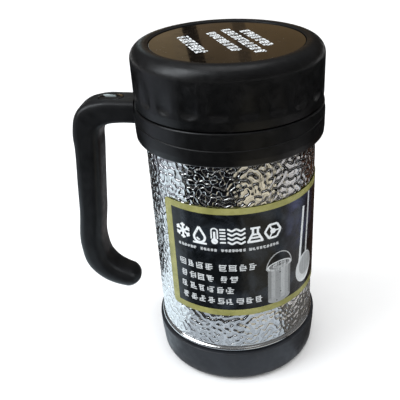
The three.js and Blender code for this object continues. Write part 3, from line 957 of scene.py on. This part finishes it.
def label_shape():
    """Radius of the label's face, direction of its left edge, its length round the shell, its foot
    and its height."""
    points = np.array([v.co for v in frame["nodes"]["label"].data.vertices]) / MM
    face = np.hypot(points[:, 0], points[:, 1]).max()
    angle = np.degrees(np.arctan2(points[:, 1], points[:, 0]))
    foot, top = points[:, 2].min(), points[:, 2].max()
    return face, angle.min(), math.radians(angle.max() - angle.min()) * face, foot, top - foot


FACE_R, LABEL_LEFT, LABEL_LONG, LABEL_FOOT, LABEL_HIGH = label_shape()


def on_label(along, up, lift=0.0):
    """Points on the label's face, from distances along it and up it."""
    angle = math.radians(LABEL_LEFT) + np.asarray(along) / FACE_R
    radius = FACE_R + lift
    return polar(radius, angle, LABEL_FOOT + np.asarray(up))


def label_film():
    """Printed film wrapped round the shell. The embossing shows through it very faintly."""
    columns, rows = 230, 130
    along = np.linspace(0, LABEL_LONG, columns)
    edge = np.clip(LABEL_CORNER - np.minimum(along, LABEL_LONG - along), 0, None)
    cut = LABEL_CORNER - np.sqrt(LABEL_CORNER ** 2 - edge ** 2)
    share = np.linspace(0, 1, rows)[:, None]
    up = cut + (LABEL_HIGH - 2 * cut) * share
    rng = np.random.default_rng(FILM_SEED)
    steps = (LABEL_HIGH / rows, LABEL_LONG / columns)
    ripple = FILM_RIPPLE * waves(rows, columns, steps, EMBOSS_WAVE, EMBOSS_SPREAD, rng)
    film = skin("label_film", on_label(np.broadcast_to(along, up.shape), up, ripple), round_again=False)
    solid = film.modifiers.new("film", "SOLIDIFY")
    solid.thickness = FILM_THICK * MM
    solid.offset = -1
    return placed(film, "vessel", "label_film", "label")


def label_look():
    """Dark cloudy panel with a violet glow, inside an olive-gold border."""
    look = Look("label_film", IOR=1.35)
    parts = look.add("SeparateXYZ")
    look.tree.links.new(look.add("TexCoord").outputs["Object"], parts.inputs[0])
    angle = look.math("ARCTAN2", parts.outputs["Y"], parts.outputs["X"])
    along = look.product(look.math("SUBTRACT", angle, math.radians(LABEL_LEFT)), FACE_R)
    up = look.math("SUBTRACT", look.math("DIVIDE", parts.outputs["Z"], MM), LABEL_FOOT)
    sides = [
        look.math("LESS_THAN", along, BORDER_SIDE),
        look.math("GREATER_THAN", along, LABEL_LONG - BORDER_SIDE),
        look.math("LESS_THAN", up, BORDER_FOOT),
        look.math("GREATER_THAN", up, LABEL_HIGH - BORDER_TOP),
    ]
    border = look.math("MAXIMUM", look.math("MAXIMUM", *sides[:2]), look.math("MAXIMUM", *sides[2:]))
    cloud = look.map(look.noise(13, 4.0, warp=0.8), 0.42, 0.72)
    panel = look.mix(cloud, (0.003, 0.004, 0.005), (0.018, 0.023, 0.03))
    glow = look.product(look.map(along, 62, 72), look.map(along, 78, 92, 1.0, 0.0))
    glow = look.product(glow, look.map(up, 28, 44))
    glow = look.product(glow, look.map(look.noise(10, 3.0, warp=0.6), 0.35, 0.7, 0.1, 0.9))
    panel = look.mix(glow, panel, (0.038, 0.045, 0.11))
    gold = look.mix(look.map(look.noise(7, 3.0), 0.3, 0.7), (0.20, 0.197, 0.060), (0.28, 0.272, 0.095))
    look.set(Base_Color=look.mix(border, panel, gold))
    smear = look.map(look.noise(8, 3.0, warp=1.2), 0.35, 0.7, 0.2, 0.36)
    return look.made(
        Roughness=look.total(smear, look.scratches(2.0, (0, 0, 40), 0.25)),
        Normal=look.bump(look.noise(1.3, 2.0), 0.01),
    )


# ---- printed marks

# A mark is a ribbon: pairs of points across it, one after another, and the tone of its ink from
# 0, black, to 1, white. Every drawing function gives a list of marks.


def bar(left, right, low, high, tone):
    count = max(2, math.ceil((right - left) / 0.8) + 1)
    return [([((u, low), (u, high)) for u in np.linspace(left, right, count)], tone)]


def stroke(points, width, tone):
    """A line of some width through points, with its corners mitred."""
    path = np.array(points, float)
    along = np.gradient(path, axis=0)
    along /= np.linalg.norm(along, axis=1)[:, None]
    side = np.stack([-along[:, 1], along[:, 0]], axis=1) * width / 2
    return [(list(zip(path - side, path + side)), tone)]


def line(start, end, width, tone):
    count = max(2, math.ceil(math.dist(start, end) / 0.8) + 1)
    return stroke(np.linspace(start, end, count), width, tone)


def curve(centre, radii, first, last, width, tone, count=25):
    """An arc of an ellipse, from one angle to another."""
    turn = np.radians(np.linspace(first, last, count))
    path = np.array(centre) + np.stack([radii[0] * np.cos(turn), radii[1] * np.sin(turn)], axis=1)
    return stroke(path, width, tone)


def oval(centre, radii, tone, count=25):
    """A filled ellipse."""
    turn = np.linspace(0.03, math.pi - 0.03, count)
    u = centre[0] - radii[0] * np.cos(turn)
    v = radii[1] * np.sin(turn)
    return [(list(zip(zip(u, centre[1] - v), zip(u, centre[1] + v))), tone)]


def printed(name, marks, surface, thick):
    """One mesh of thin raised marks. surface gives points from (along, up, lift)."""
    vertices, faces, tones = [], [], []
    for pairs, tone in marks:
        first, count = len(vertices), len(pairs)
        flat = np.array(pairs, float)
        for lift in (-thick, thick):
            vertices.extend(surface(flat[:, :, 0], flat[:, :, 1], lift).reshape(-1, 3).tolist())
        tones.extend([tone] * (4 * count))
        back, front = first, first + 2 * count
        for i in range(0, 2 * (count - 1), 2):
            b, f = back + i, front + i
            faces.append([f, f + 2, f + 3, f + 1])
            faces.append([b, b + 1, b + 3, b + 2])
            faces.append([b, b + 2, f + 2, f])
            faces.append([b + 1, f + 1, f + 3, b + 3])
        end = 2 * (count - 1)
        faces.append([back, front, front + 1, back + 1])
        faces.append([back + end, back + end + 1, front + end + 1, front + end])
    mesh = bpy.data.meshes.new(name)
    mesh.from_pydata((np.array(vertices) * MM).tolist(), [], faces)
    mesh.attributes.new("tone", "FLOAT", "POINT").data.foreach_set("value", tones)
    return finished(name, mesh)


def woven_block(left, right, low, high, rng, tone, weight):
    """Level and upright dashes at random, as dense as a written sign but without its form."""
    marks = []
    wide, tall = right - left, high - low
    for level in (0.0, 0.3, 0.6, 0.9):
        begin, end = rng.uniform(0, 0.35), rng.uniform(0.6, 1.0)
        foot = low + (level + rng.uniform(0, 0.06)) * (tall - weight)
        marks += bar(left + begin * wide, left + end * wide, foot, foot + weight, tone)
    for place in (rng.uniform(0.05, 0.3), rng.uniform(0.45, 0.9)):
        foot, head = rng.uniform(0, 0.35), rng.uniform(0.65, 1.0)
        middle = left + place * wide
        side = weight / 2
        marks += bar(middle - side, middle + side, low + foot * tall, low + head * tall, tone)
    return marks


def woven_row(left, right, low, high, rng, tone, cell, weight):
    """A row of woven blocks that stands for writing."""
    marks = []
    for start in np.arange(left, right - cell / 2, cell):
        marks += woven_block(start, start + 0.86 * cell, low, high, rng, tone, weight)
    return marks


def snowflake(u, v, size, tone):
    marks = []
    for turn in (30, 90, 150):
        arm = way(math.radians(turn)) * size / 2
        middle = np.array([u, v])
        marks += line(middle - arm, middle + arm, 1.1, tone)
        for end in (-1, 1):
            knee = middle + 0.6 * end * arm
            for side in (-50, 50):
                twig = way(math.radians(turn + side)) * end * size * 0.19
                marks += line(knee, knee + twig, 0.9, tone)
    return marks


def droplet(u, v, size, tone):
    belly = size * 0.33
    low = v - size * 0.17
    marks = curve((u, low), (belly, belly), 155, 385, 1.2, tone)
    for side in (-1, 1):
        marks += line((u + side * belly * 0.9, low + belly * 0.43), (u, v + size / 2), 1.2, tone)
    marks += curve((u, low), (belly * 0.45, belly * 0.45), 190, 280, 0.9, tone, 9)
    marks += bar(u - size * 0.42, u + size * 0.42, v - size / 2 - 1.0, v - size / 2, tone)
    return marks


def thermometer(u, v, size, tone):
    bulb = v - size * 0.32
    left = u - 1.5
    marks = oval((left, bulb), (size * 0.19, size * 0.19), tone)
    marks += line((left, bulb), (left, v + size * 0.3), 1.1, tone)
    marks += curve((left, v + size * 0.36), (1.5, 1.3), 0, 180, 0.7, tone, 9)
    for side in (-1.5, 1.5):
        marks += line((left + side, bulb + 1.4), (left + side, v + size * 0.36), 0.7, tone)
    for level in (-0.44, -0.2, 0.0, 0.2, 0.4):
        marks += bar(left + 2.6, left + 5.4, v + level * size, v + level * size + 0.9, tone)
    return marks


def ripples(u, v, size, tone):
    across = np.linspace(-size / 2, size / 2, 21)
    marks = []
    for level in (-0.42, -0.14, 0.14, 0.42):
        crest = 0.5 * np.cos(across * 2 * math.pi / (size / 2))
        marks += stroke(np.stack([u + across, v + level * size + crest], axis=1), 1.0, tone)
    return marks


def flask(u, v, size, tone):
    low, high, neck = v - size / 2, v + size / 2, size * 0.14
    marks = bar(u - size * 0.46, u + size * 0.46, low, low + 1.2, tone)
    marks += bar(u - neck - 1.2, u + neck + 1.2, high - 1.1, high, tone)
    for side in (-1, 1):
        marks += line((u + side * neck, high), (u + side * neck, v + size * 0.1), 1.1, tone)
        foot = (u + side * size * 0.43, low + 0.5)
        marks += line((u + side * neck, v + size * 0.12), foot, 1.1, tone)
    for level, half in ((2.2, 0.27), (4.0, 0.17)):
        marks += bar(u - size * half, u + size * half, low + level, low + level + 1.0, tone)
    return marks


def hexagon(u, v, size, tone):
    turns = np.radians(np.arange(0, 361, 60))
    corners = np.array([u, v]) + size / 2 * np.stack([np.cos(turns), np.sin(turns)], axis=1)
    marks = []
    for start, end in zip(corners[:-1], corners[1:]):
        marks += line(start, end, 1.1, tone)
    marks += oval((u, v), (size * 0.17, size * 0.17), tone)
    for corner in corners[:-1:2]:
        marks += line((u, v), corner, 0.8, tone)
    return marks


def pail(left, right, low, high, bail):
    """A small steel pail with a bail handle, in greys."""
    middle, half = (left + right) / 2, (right - left) / 2
    bands = [(-1.0, 0.2), (-0.72, 0.36), (-0.4, 0.27), (0.1, 0.42), (0.45, 0.32), (0.8, 0.18)]
    body = half * 0.94
    marks = oval((middle, low + 1.6), (body, 2.4), 0.3)
    for (start, tone), (end, _) in zip(bands, bands[1:] + [(1.0, 0)]):
        marks += bar(middle + start * body, middle + end * body, low + 1.6, high, tone)
    marks += bar(left, right, high - 1.6, high - 0.4, 0.5)
    marks += oval((middle, high), (half, 2.9), 0.62)
    marks += oval((middle, high + 0.2), (half * 0.86, 2.1), 0.08)
    marks += curve((middle, high + 0.2), (half * 0.55, 1.1), 20, 340, 0.5, 0.7)
    marks += curve((middle, high - 1), (half * 1.04, bail - high + 1), 0, 180, 0.55, 0.4)
    return marks


def ladle(u, low, top):
    """A ladle with two long flat handles, in greys."""
    bowl = low + 9
    marks = oval((u, bowl), (8.0, 9.0), 0.62) + oval((u + 1.0, bowl + 1.6), (6.2, 6.4), 0.3)
    marks += curve((u, bowl), (7.0, 8.0), 190, 330, 1.2, 0.9)
    marks += line((u - 5.0, bowl + 5), (u - 2.4, top - 6), 1.7, 0.75)
    marks += line((u + 1.0, bowl + 7), (u + 3.0, top), 1.5, 0.6)
    return marks


TITLE_LEFT = 11.2
TITLE_CELL = 9.1  # distance from one sign to the next
TITLE_LEVEL = 48.0
TITLE_SIZE = 8.6
WORD_HIGH = 4.1
LABEL_SEED = 23


def label_print():
    """Generic pictograms, woven blocks for writing and pictures of a pail and a ladle."""
    rng = np.random.default_rng(LABEL_SEED)
    marks = []
    signs = (snowflake, droplet, thermometer, ripples, flask, hexagon)
    for i, sign in enumerate(signs):
        marks += sign(TITLE_LEFT + TITLE_CELL * i, TITLE_LEVEL, TITLE_SIZE, 0.8)
    for left, right in ((8.0, 18.6), (20.4, 29.0), (30.8, 42.6), (44.4, 60.4)):
        marks += woven_row(left, right, 39.3, 41.0, rng, tone=0.5, cell=1.75, weight=0.4)
    rows = [(27.8, (7.6, 26.9), (29.2, 48.8)), (20.9, (8.0, 26.9), (29.5, 39.2))]
    rows += [(14.1, (8.0, 37.2)), (7.2, (8.0, 52.2))]
    for foot, *words in rows:
        for left, right in words:
            head = foot + WORD_HIGH
            marks += woven_row(left, right, foot, head, rng, tone=0.6, cell=4.85, weight=0.55)
    marks += pail(53.4, 68.0, 4.4, 26.5, 34.5)
    marks += ladle(80.0, 6.9, 59.5)
    print_on = printed("label_print", marks, on_label, PRINT_THICK)
    return placed(print_on, "vessel", "label_film")


# Rows of marks on the lid's disc: distance of the row from the axis, middle of the row along it,
# length, and height of the marks.
DISC_ROWS = [
    (-16.9, -1.5, 31.0, 6.2),
    (-2.1, -0.2, 35.0, 5.0),
    (6.4, 2.0, 44.0, 5.4),
    (14.1, 2.5, 33.0, 5.4),
]
DISC_CELL = 4.6
DISC_SEED = 31
DISC_ROW_TURN = -63.5  # direction in which the rows run


def on_disc(along, up, lift=0.0):
    turn = math.radians(DISC_ROW_TURN)
    top = foot_top("lid_top_disc")[1] + 0.02
    x = along * math.cos(turn) - up * math.sin(turn)
    y = along * math.sin(turn) + up * math.cos(turn)
    return np.stack([x, y, np.full(np.shape(x), top + lift)], axis=-1)


def disc_print():
    """Rows of white woven blocks on the disc, in place of writing."""
    rng = np.random.default_rng(DISC_SEED)
    marks = []
    for offset, middle, length, high in DISC_ROWS:
        left, right = middle - length / 2, middle + length / 2
        low, top = offset - high / 2, offset + high / 2
        marks += woven_row(left, right, low, top, rng, tone=1.0, cell=DISC_CELL, weight=0.85)
    marks_on = printed("disc_print", marks, on_disc, PRINT_THICK)
    return placed(marks_on, "lid", "glossy_black")


def print_ink():
    """Ink whose tone the marks carry, slightly worn and uneven."""
    look = Look("print_ink", IOR=1.5)
    ink = look.mix(look.attribute("tone"), (0.006, 0.007, 0.009), (0.82, 0.86, 0.88))
    worn = look.map(look.noise(0.9, 3.0), 0.55, 0.72, 0.0, 0.35)
    return look.made(
        Base_Color=look.mix(worn, ink, (0.05, 0.055, 0.06)),
        Roughness=look.map(look.noise(2.5), 0.3, 0.7, 0.3, 0.45),
        Normal=look.bump(look.noise(0.7), 0.006),
    )


# ---- finishes


def dress(obj, material):
    """Gives a piece or a CAD node its one material."""
    obj.data.materials.clear()
    obj.data.materials.append(material)


def dress_all():
    satin = moulded_plastic("satin_black", (0.0022, 0.0022, 0.0024), 0.34, 0.1)
    matt = moulded_plastic("matt_black", (0.014, 0.0155, 0.019), 0.46, 0.5)
    grip = moulded_plastic("grip_black", (0.0034, 0.0036, 0.0042), 0.4, 0.08)
    neck = moulded_plastic("neck_plastic", (0.02, 0.02, 0.021), 0.4, 0.3)
    hidden_steel = ("outer_bottom_plate", "seal_off_plug", "handle_screw")
    gloss = glossy_plastic("glossy_black", (0.0055, 0.0042, 0.0032))
    looks = [
        (satin, "black_lid", "black_collar"),
        (matt, "black_base"),
        (grip, "black_handle"),
        (neck, "neck_ring", "lid_plug_cup", "vent_guide"),
        (gloss, "glossy_disc", "glossy_inlay"),
        (embossed_steel(), "steel_shell"),
        (plain_steel(), "steel_vessel", "valve_spring", *hidden_steel),
        (aluminium_foil(), "reflective_foil"),
        (getter_metal(), "getter"),
        (black_rubber(), "rubber_foot"),
        (silicone(), "silicone_seal", "neck_seal", "vent_valve"),
        (rigid_foam(), "lid_foam"),
        (label_look(), "label_film"),
        (print_ink(), "label_print", "disc_print"),
    ]
    for material, *pieces in looks:
        for piece in pieces:
            dress(bpy.data.objects[piece], material)


# ---- studio

CAMERA_REACH = 282.71  # from the dewar's axis
CAMERA_HEIGHT = 248.0
CAMERA_PITCH = 30.27  # looking down
CAMERA_YAW = 0.7  # to the right of the axis
CAMERA_ROLL = -1.84
CAMERA_LENS = 54.31


def camera():
    data = bpy.data.cameras.new("camera")
    data.lens = CAMERA_LENS
    data.sensor_width = 36
    data.shift_x, data.shift_y = -0.1, 0.025
    data.clip_start = 0.01
    eye = linked("camera", data)
    turn = math.radians(VIEW_ANGLE + 90)
    across = -CAMERA_REACH * MM * way(turn + math.pi / 2)
    place = Matrix.Translation((*across, CAMERA_HEIGHT * MM))
    aim = Matrix.Rotation(turn - math.radians(CAMERA_YAW), 4, "Z")
    aim = aim @ Matrix.Rotation(math.radians(90 - CAMERA_PITCH), 4, "X")
    eye.matrix_world = place @ aim @ Matrix.Rotation(math.radians(CAMERA_ROLL), 4, "Z")
    bpy.context.scene.camera = eye


FLOOR_HALF = 3000
BACKDROP_R = 2900
BACKDROP_LEVELS = (-2500, 2800)


def floor():
    mesh = bpy.data.meshes.new("floor")
    half = FLOOR_HALF * MM
    corners = [(-half, -half, 0), (half, -half, 0), (half, half, 0), (-half, half, 0)]
    mesh.from_pydata(corners, [], [(0, 1, 2, 3)])
    slab = linked("floor", mesh)
    look = Look("floor", Roughness=0.7, IOR=1.4)
    paper = look.noise(60, 3.0)
    look.set(Base_Color=look.mix(look.map(paper, 0.3, 0.7), (0.86, 0.86, 0.86), (0.89, 0.89, 0.885)))
    dress(slab, look.material)


def backdrop():
    """Pale board round the far edge of the table. It lights nothing."""
    turns = np.arange(48) * 2 * np.pi / 48
    rings = [polar(BACKDROP_R, turns, np.full(len(turns), height)) for height in BACKDROP_LEVELS]
    board = skin("backdrop", np.array(rings))
    dress(board, glow("backdrop", (0.84, 0.84, 0.84)))
    seen_in_gloss_only(board)
    board.visible_glossy = False
    board.visible_camera = True


def glow(name, colour, fade=None):
    """A shining material, as strong as a mesh attribute says if one is named."""
    material = bpy.data.materials.new(name)
    material.use_nodes = True
    tree = material.node_tree
    tree.nodes.clear()
    light = tree.nodes.new("ShaderNodeEmission")
    light.inputs["Color"].default_value = (*colour, 1)
    if fade:
        share = tree.nodes.new("ShaderNodeAttribute")
        share.attribute_name = fade
        tree.links.new(share.outputs["Fac"], light.inputs["Strength"])
    out = tree.nodes.new("ShaderNodeOutputMaterial")
    tree.links.new(light.outputs[0], out.inputs["Surface"])
    return material


def seen_in_gloss_only(obj):
    """Makes a board that polished surfaces mirror, and that shows and lights nothing else."""
    for ray in ("camera", "diffuse", "shadow", "transmission", "volume_scatter"):
        setattr(obj, "visible_" + ray, False)


def card(name, rings, light):
    """A glowing board through two rows of points, seen in polished surfaces only."""
    board = skin(name, np.array(rings), round_again=False)
    dress(board, light)
    seen_in_gloss_only(board)
    return board


# Cards laid on the table round the dewar: from one direction to another, seen from the axis and
# measured from the camera's side with + to its right; nearest and furthest distance; and colour.
# Later cards lie on top of earlier ones.
TABLE_CARDS = [
    (-180, 180, 46, 275, (0.54, 0.61, 0.69)),
    (-180, 180, 275, 1500, (0.002, 0.002, 0.002)),
    (-125, -62, 46, 275, (1.0, 1.16, 1.27)),
    (-112, -66, 275, 1500, (0.34, 0.36, 0.42)),
    (-64, 8, 92, 275, (0.004, 0.004, 0.006)),
    (8, 50, 105, 275, (0.74, 0.68, 0.53)),
    (50, 60, 60, 275, (0.01, 0.009, 0.008)),
    (60, 92, 46, 275, (0.72, 0.70, 0.70)),
    (98, 176, 70, 275, (0.060, 0.028, 0.016)),
    (52, 176, 46, 88, (0.10, 0.095, 0.09)),
    (-150, -124, 46, 275, (0.02, 0.017, 0.016)),
    (-176, -150, 60, 275, (0.40, 0.37, 0.36)),
]
CARD_LIFT = 0.15  # between one card and the next

# Upright strips behind the dewar, for its top to mirror: across from the axis at the strip's foot
# and at its head, and colour.
BACK_STRIPS = [
    (-900, -214, -900, -196, (0.06, 0.055, 0.05)),
    (-214, -176, -196, -160, (1.7, 2.0, 2.05)),
    (-176, -160, -160, -100, (0.06, 0.055, 0.05)),
    (-160, -96, -100, -62, (0.42, 0.31, 0.18)),
    (-96, -78, -62, -42, (0.40, 0.30, 0.18)),
    (-78, -60, -42, -14, (0.012, 0.010, 0.008)),
    (-60, -6, -14, 34, (0.24, 0.17, 0.10)),
    (-6, 14, 34, 50, (0.11, 0.08, 0.05)),
    (14, 130, 50, 150, (0.26, 0.175, 0.09)),
    (130, 900, 150, 900, (0.05, 0.04, 0.03)),
]
BACK_FAR = 600  # from the axis
BACK_FOOT = 230
BACK_HEAD = 450
BACK_DIM = 0.25  # light of the strips' heads, as a share of that of their feet


def table_card(number, first, last, near, far, colour):
    turns = np.radians(VIEW_ANGLE + np.linspace(first, last, 48))
    rings = [polar(r, turns, np.full(len(turns), CARD_LIFT * number)) for r in (near, far)]
    card(f"table_card_{number}", rings, glow(f"card_{number}", colour))


def back_strip(number, foot_left, foot_right, head_left, head_right, colour):
    away = math.radians(VIEW_ANGLE + 180)
    side = away - math.pi / 2
    rings = []
    for height, edges in ((BACK_FOOT, (foot_left, foot_right)), (BACK_HEAD, (head_left, head_right))):
        ends = [way(away) * BACK_FAR + way(side) * edge for edge in edges]
        rings.append([(*end, height) for end in ends])
    strip = card(f"back_strip_{number}", rings, glow(f"strip_{number}", colour, "fade"))
    spread_values(strip, "fade", [1.0, 1.0, BACK_DIM, BACK_DIM])


def ceiling_card():
    """A dim white board overhead, for the long soft highlight on the lid's rim."""
    half, near, far, height = 350, -250, 550, 1200
    rows = [[(-half, y, height), (half, y, height)] for y in (near, far)]
    card("ceiling_card", rows, glow("ceiling", (1.3, 1.32, 1.36)))


LIGHT_AIM = 90  # height that the lamp looks at


def soft_box(name, turn, rise, distance, size, colour, power_w):
    """An area light that looks at the dewar, turned from the camera's side with + to its right."""
    data = bpy.data.lights.new(name, "AREA")
    data.shape = "RECTANGLE"
    data.size, data.size_y = size
    data.color = colour
    data.energy = power_w
    lamp = linked(name, data)
    around = math.radians(VIEW_ANGLE + turn)
    up = math.radians(rise)
    out = np.array([*(way(around) * math.cos(up)), math.sin(up)])
    spot = np.array([0, 0, LIGHT_AIM * MM]) + out * distance
    aim = Matrix.Rotation(around + math.pi / 2, 4, "Z") @ Matrix.Rotation(math.pi / 2 - up, 4, "X")
    lamp.matrix_world = Matrix.Translation(spot) @ aim
    return lamp


def soft_sun(strength, spread):
    """Even light from overhead, as from a wide diffuser, so that the table is evenly pale."""
    data = bpy.data.lights.new("diffuser", "SUN")
    data.energy = strength
    data.angle = math.radians(spread)
    lamp = linked("diffuser", data)
    lamp.matrix_world = Matrix.Rotation(math.radians(8), 4, "X")
    lamp.visible_glossy = False


def world():
    """Plain pale room light, a little brighter overhead."""
    sky = bpy.data.worlds.new("studio")
    bpy.context.scene.world = sky
    sky.use_nodes = True
    tree = sky.node_tree
    background = tree.nodes["Background"]
    where = tree.nodes.new("ShaderNodeTexCoord")
    parts = tree.nodes.new("ShaderNodeSeparateXYZ")
    ramp = tree.nodes.new("ShaderNodeValToRGB")
    ramp.color_ramp.elements[0].color = (0.30, 0.27, 0.25, 1)
    ramp.color_ramp.elements[1].color = (0.95, 0.97, 1.0, 1)
    ramp.color_ramp.elements[1].position = 0.9
    tree.links.new(where.outputs["Generated"], parts.inputs[0])
    tree.links.new(parts.outputs["Z"], ramp.inputs[0])
    tree.links.new(ramp.outputs[0], background.inputs["Color"])
    background.inputs["Strength"].default_value = 0.2


def studio():
    world()
    floor()
    backdrop()
    camera()
    for number, card in enumerate(TABLE_CARDS, start=1):
        table_card(number, *card)
    for number, strip in enumerate(BACK_STRIPS, start=1):
        back_strip(number, *strip)
    ceiling_card()
    soft_sun(strength=3.6, spread=130)
    soft_box("window", -70, 40, distance=0.9, size=(0.5, 0.8), colour=(0.90, 0.95, 1.0), power_w=5.5)
    bpy.context.scene.view_settings.view_transform = "Standard"


# ---- the dewar

steel_shell()
base_cup()
foot_pad()
collar()
lid_cap()
lid_disc()
neck_insert()
lid_plug()
seal_ring()
inner_vessel()
vent_poppet()
vent_spring()
handle_grip()
handle_inlay()
label_film()
label_print()
disc_print()
dress_all()
studio()
